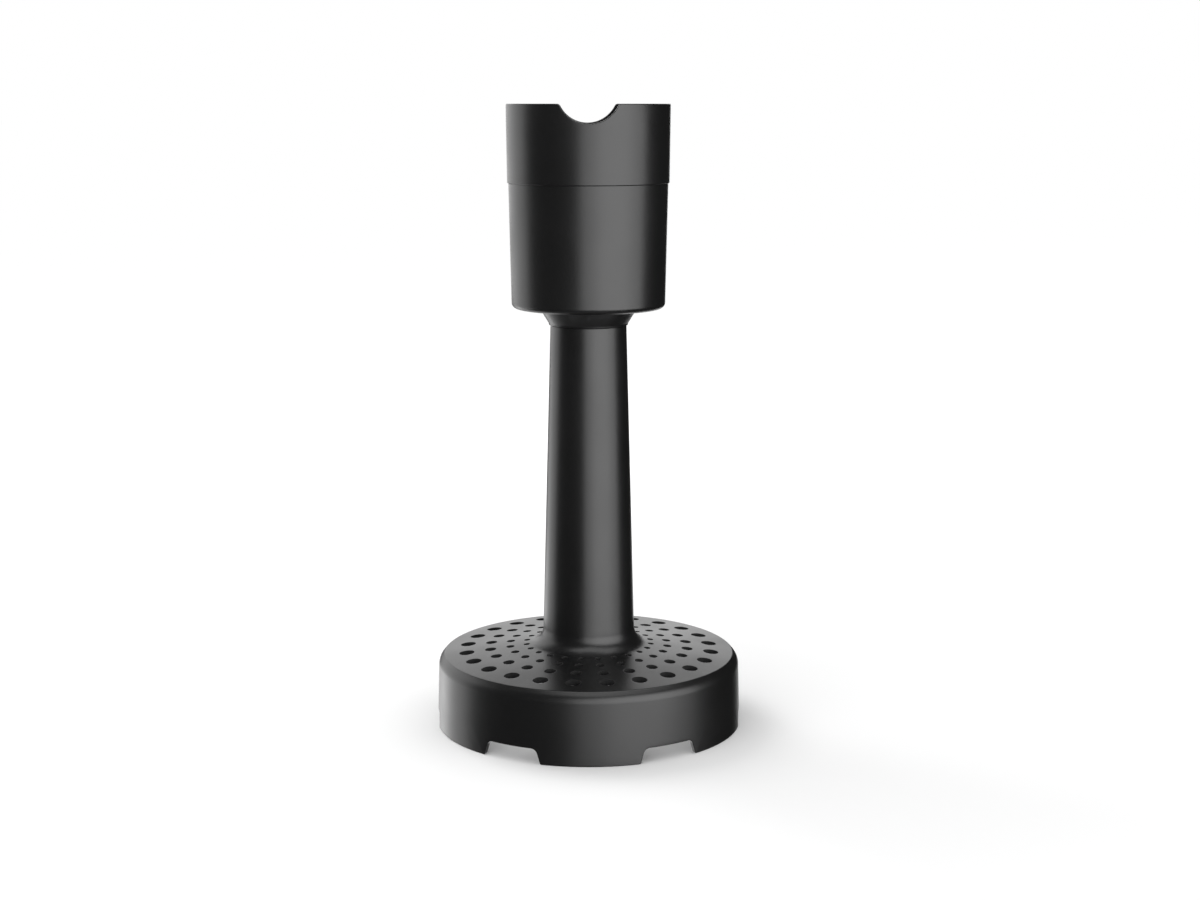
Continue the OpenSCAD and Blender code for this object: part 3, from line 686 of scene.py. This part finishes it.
def make_neck(material):
    bm = bmesh.new()
    groove_r, groove_z = SPIGOT_R - GROOVE_DEPTH, TUBE_TOP_Z - GROOVE_DROP
    groove_low, groove_high = groove_z - GROOVE_HALF_W, groove_z + GROOVE_HALF_W
    lathe(bm, divided(rounded([
        (OUTPUT_BUSH_R, NECK_BOTTOM_Z, 0.3 * MM), (SPIGOT_R, NECK_BOTTOM_Z, SPIGOT_ROUND),
        (SPIGOT_R, groove_low, 0.15 * MM), (groove_r, groove_low, 0),
        (groove_r, groove_high, 0), (SPIGOT_R, groove_high, 0.15 * MM),
        (SPIGOT_R, NECK_Z, 0), (TUBE_TOP_R + 0.45 * MM, NECK_Z, 0),
        (TUBE_TOP_R + NECK_LEAD, NECK_Z + NECK_LEAD, 0.4 * MM), (NECK_R, HOUSE_Z, 0),
        (BOSS_R, HOUSE_Z, 0), (BOSS_R, HOUSE_Z + BOSS_H, 0.3 * MM),
        (OUTPUT_BUSH_R, HOUSE_Z + BOSS_H, 0)], 4), LONGEST_STEP, True), closed=True)
    neck = mesh_object("neck_moulding", bm, material)
    key = block("neck_key", (SPIGOT_R - 0.4 * MM, -KEY_W / 2, TUBE_TOP_Z - KEY_H),
                (SPIGOT_R + KEY_T, KEY_W / 2, TUBE_TOP_Z + 1 * MM), 0.25 * MM, material, QUARTER)
    combine(neck, spin_copies(key, KEY_COUNT), "UNION")
    hole = screw_cutter("neck_hole", NECK_SCREW_ORBIT, NECK_SCREW_TURN, HOUSE_Z - 4.2 * MM,
                        HOUSE_Z + 1 * MM, HOUSE_Z + 3 * MM, material)
    combine(neck, spin_copies(hole, SCREW_COUNT), "DIFFERENCE")
    return finish_piece(neck, "head", "black_plastic", "neck_ring")


def make_housing(material):
    bm = bmesh.new()
    base_r = HOUSE_R - (SEAM_Z - HOUSE_Z) * HOUSE_DRAFT
    mouth_z = SEAM_Z - MOUTH_DEPTH
    lathe(bm, divided(rounded([
        (BOSS_R + BOSS_GAP, HOUSE_Z, 0), (base_r, HOUSE_Z, HOUSE_ROUND, 8), (HOUSE_R, SEAM_Z, 0.15 * MM, 3),
        (MOUTH_R, SEAM_Z, 0.3 * MM, 4), (MOUTH_R, mouth_z, 0), (CAVITY_R, mouth_z, 0), (CAVITY_R, RING_Z, 0),
        (STEP_R, RING_Z, 0), (STEP_R, FLOOR_Z, 0), (BOSS_R + BOSS_GAP, FLOOR_Z, 0)]), LONGEST_STEP, True),
        closed=True)
    housing = mesh_object("housing_moulding", bm, material)
    key = block("housing_key", (CAVITY_R - RING_KEY_T, -RING_KEY_W / 2, RING_Z - 0.5 * MM),
                (CAVITY_R + 0.4 * MM, RING_KEY_W / 2, RING_Z + RING_KEY_H), 0.2 * MM, material, QUARTER)
    combine(housing, spin_copies(key, RING_KEYS), "UNION")
    hole = screw_cutter("housing_hole", NECK_SCREW_ORBIT, NECK_SCREW_TURN, HOUSE_Z - 1 * MM,
                        FLOOR_Z - SCREW_HEAD_H, FLOOR_Z + 1 * MM, material)
    combine(housing, spin_copies(hole, SCREW_COUNT), "DIFFERENCE")
    return finish_piece(housing, "head", "black_plastic", "gearbox_housing")


def rim_outline():
    """Half of a finger notch and the rim beside it, with the edge roundings of each column."""
    notch_z = RIM_Z - FINGER_DEPTH + FINGER_R
    corner_z = RIM_Z - FINGER_CORNER_R
    reach = FINGER_R + FINGER_CORNER_R
    corner_x = math.sqrt(reach ** 2 - (notch_z - corner_z) ** 2)
    meet = math.atan2(corner_z - notch_z, corner_x)
    points, rounds = [], []
    for k in range(13):
        a = -QUARTER + (meet + QUARTER) * k / 12
        points.append((FINGER_R * math.cos(a), notch_z + FINGER_R * math.sin(a)))
        rounds.append((FINGER_EDGE_ROUND, FINGER_EDGE_ROUND))
    for k in range(1, 5):
        share = k / 4
        a = meet + math.pi + (QUARTER - meet - math.pi) * share
        points.append((corner_x + FINGER_CORNER_R * math.cos(a), corner_z + FINGER_CORNER_R * math.sin(a)))
        rounds.append((FINGER_EDGE_ROUND + (RIM_ROUND - FINGER_EDGE_ROUND) * share,
                       FINGER_EDGE_ROUND + (RIM_INNER_ROUND - FINGER_EDGE_ROUND) * share))
    chords = len(points)
    points += [(corner_x + 0.5 * MM * k, RIM_Z) for k in range(1, COLUMNS // 4 - chords + 2)]
    rounds += [(RIM_ROUND, RIM_INNER_ROUND)] * (len(points) - chords)
    return points, chords, rounds


def make_collar(material):
    bm = bmesh.new()
    ring_in, ring_low = MOUTH_R - COLLAR_RING_T, SEAM_Z - COLLAR_RING_H
    ring_out = MOUTH_R - SEAT_GAP
    floor_low = SOCKET_Z - SOCKET_FLOOR_T
    lip_r, lip_z = COUPLING_HOLE_R + LIP, SOCKET_Z + LIP
    lathe(bm, divided(rounded([
        (collar_r(RIM_BAND_Z), RIM_BAND_Z, 0), (COLLAR_BASE_R, SEAM_Z, 0.25 * MM), (ring_out, SEAM_Z, 0),
        (ring_out, ring_low, 0.5 * MM), (ring_in, ring_low, 0), (ring_in, floor_low, 0.5 * MM),
        (COUPLING_HOLE_R, floor_low, 0), (COUPLING_HOLE_R, lip_z, 0.3 * MM), (lip_r, lip_z, 0.3 * MM),
        (lip_r, SOCKET_Z, 0), (SOCKET_R, SOCKET_Z, 0.8 * MM), (SOCKET_R, LATCH_Z, LATCH_ROUND),
        (SOCKET_R + LATCH_DEPTH, LATCH_Z, 0), (SOCKET_R + LATCH_DEPTH, LATCH_Z + LATCH_W, 0),
        (SOCKET_R, LATCH_Z + LATCH_W, LATCH_ROUND), (SOCKET_R, RIM_BAND_Z, 0)], 4), LONGEST_STEP))
    outline, chords, rounds = rim_outline()
    notched_edge(bm, outline, chords, 1, rounds, (collar_r, lambda z: SOCKET_R), RIM_BAND_Z, 2, -QUARTER)
    collar = mesh_object("collar_moulding", bm, material)
    hole = screw_cutter("collar_hole", POST_ORBIT, QUARTER, floor_low - 1 * MM, SOCKET_Z - SCREW_HEAD_H,
                        SOCKET_Z + 3 * MM, material)
    combine(collar, spin_copies(hole, SCREW_COUNT), "DIFFERENCE")
    return finish_piece(collar, "head", "black_plastic", "coupling_collar")


# ---- Shader groups ----

def shader_group(name, inputs, outputs):
    """An empty shader group with float inputs and value outputs."""
    tree = bpy.data.node_groups.new(name, "ShaderNodeTree")
    for key, default in inputs.items():
        socket = tree.interface.new_socket(key, in_out="INPUT", socket_type="NodeSocketFloat")
        socket.default_value = default
    for key in outputs:
        tree.interface.new_socket(key, in_out="OUTPUT", socket_type="NodeSocketFloat")
    return tree, tree.nodes.new("NodeGroupInput"), tree.nodes.new("NodeGroupOutput")


def noise(tree, vector, scale, detail, roughness=0.55):
    """Noise over a vector socket; scale is a number or a socket."""
    node = tree.nodes.new("ShaderNodeTexNoise")
    node.inputs["Detail"].default_value = detail
    node.inputs["Roughness"].default_value = roughness
    tree.links.new(vector, node.inputs["Vector"])
    feed(tree, scale, node.inputs["Scale"])
    return node.outputs[0]


def feed(tree, value, socket):
    """Links a socket to another, or sets a plain number on it."""
    if isinstance(value, bpy.types.NodeSocket):
        tree.links.new(value, socket)
    else:
        socket.default_value = value


def remap(tree, value, low, high, to_low=0.0, to_high=1.0):
    node = tree.nodes.new("ShaderNodeMapRange")
    for key, number in (("Value", value), ("From Min", low), ("From Max", high),
                        ("To Min", to_low), ("To Max", to_high)):
        feed(tree, number, node.inputs[key])
    return node.outputs["Result"]


def calculate(tree, operation, first, second=0.0):
    node = tree.nodes.new("ShaderNodeMath")
    node.operation = operation
    feed(tree, first, node.inputs[0])
    feed(tree, second, node.inputs[1])
    return node.outputs[0]


def mould_grain_group():
    """The fine grain of a spark-eroded mould: Height for a bump, Gloss from -1 to 1 for roughness."""
    tree, given, result = shader_group("mould_grain", {"Grain Scale": 2600.0, "Patch Scale": 45.0},
                                       ("Height", "Gloss"))
    place = tree.nodes.new("ShaderNodeTexCoord").outputs["Object"]
    fine = noise(tree, place, given.outputs["Grain Scale"], 2.0, 0.6)
    pits = tree.nodes.new("ShaderNodeTexVoronoi")
    pits.feature = "SMOOTH_F1"
    tree.links.new(place, pits.inputs["Vector"])
    tree.links.new(given.outputs["Grain Scale"], pits.inputs["Scale"])
    patches = noise(tree, place, given.outputs["Patch Scale"], 4.0, 0.5)
    tree.links.new(calculate(tree, "MULTIPLY", fine, pits.outputs["Distance"]), result.inputs["Height"])
    tree.links.new(remap(tree, patches, 0.3, 0.7, -1.0, 1.0), result.inputs["Gloss"])
    return tree


def handling_group():
    """Traces of use: Rub on convex edges, broken up, and Dust, sparse specks on upward faces."""
    tree, given, result = shader_group(
        "handling_wear", {"Edge Start": 0.53, "Edge End": 0.62, "Dust Amount": 0.2}, ("Rub", "Dust"))
    geometry = tree.nodes.new("ShaderNodeNewGeometry")
    place = tree.nodes.new("ShaderNodeTexCoord").outputs["Object"]
    edge = remap(tree, geometry.outputs["Pointiness"], given.outputs["Edge Start"], given.outputs["Edge End"])
    broken = remap(tree, noise(tree, place, 160.0, 4.0, 0.65), 0.35, 0.65)
    split = tree.nodes.new("ShaderNodeSeparateXYZ")
    tree.links.new(geometry.outputs["Normal"], split.inputs[0])
    upward = remap(tree, split.outputs["Z"], 0.3, 1.0)
    specks = remap(tree, noise(tree, place, 1100.0, 2.0, 0.7), 0.58, 0.75)
    dust = calculate(tree, "MULTIPLY", calculate(tree, "MULTIPLY", upward, specks),
                     given.outputs["Dust Amount"])
    tree.links.new(calculate(tree, "MULTIPLY", edge, broken), result.inputs["Rub"])
    tree.links.new(dust, result.inputs["Dust"])
    return tree


def turning_group():
    """Fine lathe lines about the drive axis: Height for a bump, Streak for colour and gloss."""
    tree, given, result = shader_group("turning_lines", {"Line Scale": 900.0}, ("Height", "Streak"))
    place = tree.nodes.new("ShaderNodeTexCoord").outputs["Object"]
    split = tree.nodes.new("ShaderNodeSeparateXYZ")
    tree.links.new(place, split.inputs[0])
    x, y, z = split.outputs
    squares = calculate(tree, "ADD", calculate(tree, "MULTIPLY", x, x), calculate(tree, "MULTIPLY", y, y))
    join = tree.nodes.new("ShaderNodeCombineXYZ")
    tree.links.new(calculate(tree, "SQRT", squares), join.inputs["X"])
    tree.links.new(z, join.inputs["Y"])
    lines = noise(tree, join.outputs[0], given.outputs["Line Scale"], 3.0, 0.7)
    tree.links.new(lines, result.inputs["Height"])
    tree.links.new(remap(tree, lines, 0.35, 0.65), result.inputs["Streak"])
    return tree


# ---- Materials ----

def new_material(name):
    material = bpy.data.materials.new(name)
    material.use_nodes = True
    return material, material.node_tree, material.node_tree.nodes["Principled BSDF"]


def use_group(tree, group, **values):
    node = tree.nodes.new("ShaderNodeGroup")
    node.node_tree = group
    for key, value in values.items():
        node.inputs[key.replace("_", " ")].default_value = value
    return node.outputs


def blend_colours(tree, share, first, second):
    """A mix of two colours, each a tuple or a socket."""
    node = tree.nodes.new("ShaderNodeMix")
    node.data_type = "RGBA"
    tree.links.new(share, node.inputs["Factor"])
    for key, colour in (("A_Color", first), ("B_Color", second)):
        feed(tree, colour, next(s for s in node.inputs if s.identifier == key))
    return next(s for s in node.outputs if s.type == "RGBA")


def bump(tree, height, shader, strength, depth):
    node = tree.nodes.new("ShaderNodeBump")
    node.inputs["Strength"].default_value = strength
    node.inputs["Distance"].default_value = depth
    tree.links.new(height, node.inputs["Height"])
    tree.links.new(node.outputs[0], shader.inputs["Normal"])


def pocket_mask(tree):
    """1 on the walls of narrow holes, which keep the mould's rough finish, and 0 elsewhere."""
    node = tree.nodes.new("ShaderNodeAttribute")
    node.attribute_name = "pocket"
    return node.outputs["Fac"]


def moulded(name, colour, rubbed, dusty, roughness, spread, dust=0.2, specular=0.5, grain=2600.0,
            depth=0.00004):
    """A moulded material with mould grain, patchy gloss, rubbed edges and a trace of dust."""
    material, tree, shader = new_material(name)
    surface = use_group(tree, MOULD_GRAIN, Grain_Scale=grain)
    wear = use_group(tree, HANDLING_WEAR, Dust_Amount=dust)
    worn = blend_colours(tree, wear["Rub"], colour, rubbed)
    tree.links.new(blend_colours(tree, wear["Dust"], worn, dusty), shader.inputs["Base Color"])
    gloss = remap(tree, surface["Gloss"], -1.0, 1.0, roughness - spread, roughness + spread)
    rough = calculate(tree, "ADD", gloss, calculate(tree, "MULTIPLY", pocket_mask(tree), 0.65))
    tree.links.new(rough, shader.inputs["Roughness"])
    shader.inputs["Specular IOR Level"].default_value = specular
    bump(tree, surface["Height"], shader, 0.3, depth)
    return material


def turned_steel():
    """Turned steel with fine lines round the drive axis."""
    material, tree, shader = new_material("turned_steel")
    lines = use_group(tree, TURNING_LINES)
    colour = blend_colours(tree, lines["Streak"], (0.42, 0.43, 0.45, 1), (0.6, 0.61, 0.63, 1))
    tree.links.new(colour, shader.inputs["Base Color"])
    tree.links.new(remap(tree, lines["Streak"], 0.0, 1.0, 0.22, 0.36), shader.inputs["Roughness"])
    shader.inputs["Metallic"].default_value = 1.0
    bump(tree, lines["Height"], shader, 0.25, 0.00003)
    return material


# ---- Studio ----

def make_camera():
    camera = bpy.data.objects.new("camera", bpy.data.cameras.new("camera"))
    bpy.context.scene.collection.objects.link(camera)
    camera.data.lens = 59.65
    camera.data.sensor_width = 36
    camera.location = (-0.007, -0.669, 0.2117)
    camera.rotation_euler = (math.radians(90 - 9.88), 0, math.radians(-0.934))
    bpy.context.scene.camera = camera


def softbox(name, spot, target, size, radiance, mirrored=True):
    """A rectangular light at spot, facing target: seen in gloss only, or lighting matt faces only."""
    data = bpy.data.lights.new(name, "AREA")
    data.shape = "RECTANGLE"
    data.size, data.size_y = size
    data.energy = radiance * math.pi * size[0] * size[1]
    lamp = bpy.data.objects.new(name, data)
    bpy.context.scene.collection.objects.link(lamp)
    lamp.location = spot
    lamp.rotation_euler = (Vector(target) - Vector(spot)).to_track_quat("-Z", "Y").to_euler()
    lamp.visible_camera = False
    lamp.visible_diffuse = not mirrored
    lamp.visible_glossy = mirrored
    return lamp


def make_floor():
    """A pale floor with painted shade round the object, darker near it and white further out, that gloss
    doesn't mirror, that doesn't hide the softboxes' lower ends, and that is clear from below."""
    material, tree, shader = new_material("pale_floor_painted_shade")
    place = tree.nodes.new("ShaderNodeTexCoord").outputs["Object"]
    distance = tree.nodes.new("ShaderNodeVectorMath")
    distance.operation = "LENGTH"
    tree.links.new(place, distance.inputs[0])
    # Painted shade: the floor colour is darker near the object and turns white further out, its edge broken
    # up by noise
    painted_shade_wobble = calculate(tree, "MULTIPLY", noise(tree, place, 4.0, 2.0), 0.1)
    spread = remap(tree, calculate(tree, "ADD", distance.outputs["Value"], painted_shade_wobble), 0.15, 0.75)
    tree.links.new(blend_colours(tree, spread, (0.84, 0.84, 0.84, 1), (1, 1, 1, 1)),
                   shader.inputs["Base Color"])
    from_below = tree.nodes.new("ShaderNodeNewGeometry").outputs["Backfacing"]
    tree.links.new(calculate(tree, "SUBTRACT", 1.0, from_below), shader.inputs["Alpha"])
    shader.inputs["Roughness"].default_value = 0.95
    shader.inputs["Specular IOR Level"].default_value = 0.0
    mesh = bpy.data.meshes.new("floor")
    half = 20
    corners = [(-half, -half, 0), (half, -half, 0), (half, half, 0), (-half, half, 0)]
    mesh.from_pydata(corners, [], [(0, 1, 2, 3)])
    mesh.materials.append(material)
    floor = bpy.data.objects.new("floor", mesh)
    bpy.context.scene.collection.objects.link(floor)
    floor.visible_glossy = False
    floor.visible_shadow = False


def make_world():
    """An even white room: full for matt faces and behind the object, nearly dark in reflections."""
    world = bpy.data.worlds.new("studio")
    world.use_nodes = True
    tree = world.node_tree
    background = tree.nodes["Background"]
    background.inputs["Color"].default_value = (1, 1, 1, 1)
    mirrored = tree.nodes.new("ShaderNodeLightPath").outputs["Is Glossy Ray"]
    tree.links.new(remap(tree, mirrored, 0.0, 1.0, ROOM_LIGHT, MIRRORED_ROOM), background.inputs["Strength"])
    bpy.context.scene.world = world


ROOM_LIGHT = 1.0
MIRRORED_ROOM = 0.03

SPIN_COPIES = spin_copies_tree()
MOULD_GRAIN = mould_grain_group()
HANDLING_WEAR = handling_group()
TURNING_LINES = turning_group()

FINISHES = {
    "black_plastic": moulded("black_plastic", (0.0048, 0.0048, 0.005, 1), (0.03, 0.03, 0.031, 1),
                             (0.09, 0.09, 0.088, 1), 0.33, 0.03),
    "natural_plastic": moulded("natural_plastic", (0.72, 0.69, 0.6, 1), (0.8, 0.78, 0.7, 1),
                               (0.6, 0.58, 0.52, 1), 0.42, 0.05),
    "steel": turned_steel(),
    "seal_rubber": moulded("seal_rubber", (0.018, 0.018, 0.019, 1), (0.04, 0.04, 0.041, 1),
                           (0.09, 0.09, 0.088, 1), 0.62, 0.06, specular=0.35, grain=1500.0),
}

for part in frame["record"]["subparts"]:
    mesh = frame["nodes"][part["node"]].data
    mesh.materials.clear()
    mesh.materials.append(FINISHES[part["material_slot"]])

black = FINISHES["black_plastic"]
make_foot(black)
make_paddle(black)
make_neck(black)
make_housing(black)
make_collar(black)

bpy.context.scene.view_settings.view_transform = "Standard"
make_camera()
make_floor()
make_world()
softbox("front_right", (0.52, -0.7, 0.22), (0, 0, 0.17), (1.95, 0.97), 2.95)
softbox("front_right_core", (0.51, -0.69, 0.22), (0, 0, 0.17), (0.8, 0.97), 1.15)
softbox("overhead", (0.12, -0.12, 0.95), (0, 0, 0.05), (1.0, 0.8), 2.2)
softbox("back_left", (-0.86, 0.6, 0.15), (0, 0, 0.05), (1.05, 1.3), 1.6)
softbox("back", (-0.1, 1.1, 0.33), (0, 0, 0.05), (0.9, 0.64), 1.6)
softbox("underside", (0, -0.05, -0.5), (0, 0, 0), (0.9, 0.9), 0.18)
softbox("underside_back", (-0.15, 0.75, -0.55), (0, 0, 0.02), (1.4, 0.9), 1.3)
softbox("key", (-0.45, 0.45, 0.7), (0, 0, 0), (0.5, 0.5), 3.8, mirrored=False)
softbox("fill", (-0.5, -0.8, 0.2), (0, 0, 0), (0.7, 0.35), 5.0, mirrored=False)
softbox("under_bell", (0, 0, 0.009), (0, 0, 0), (0.08, 0.08), 0.4, mirrored=False)
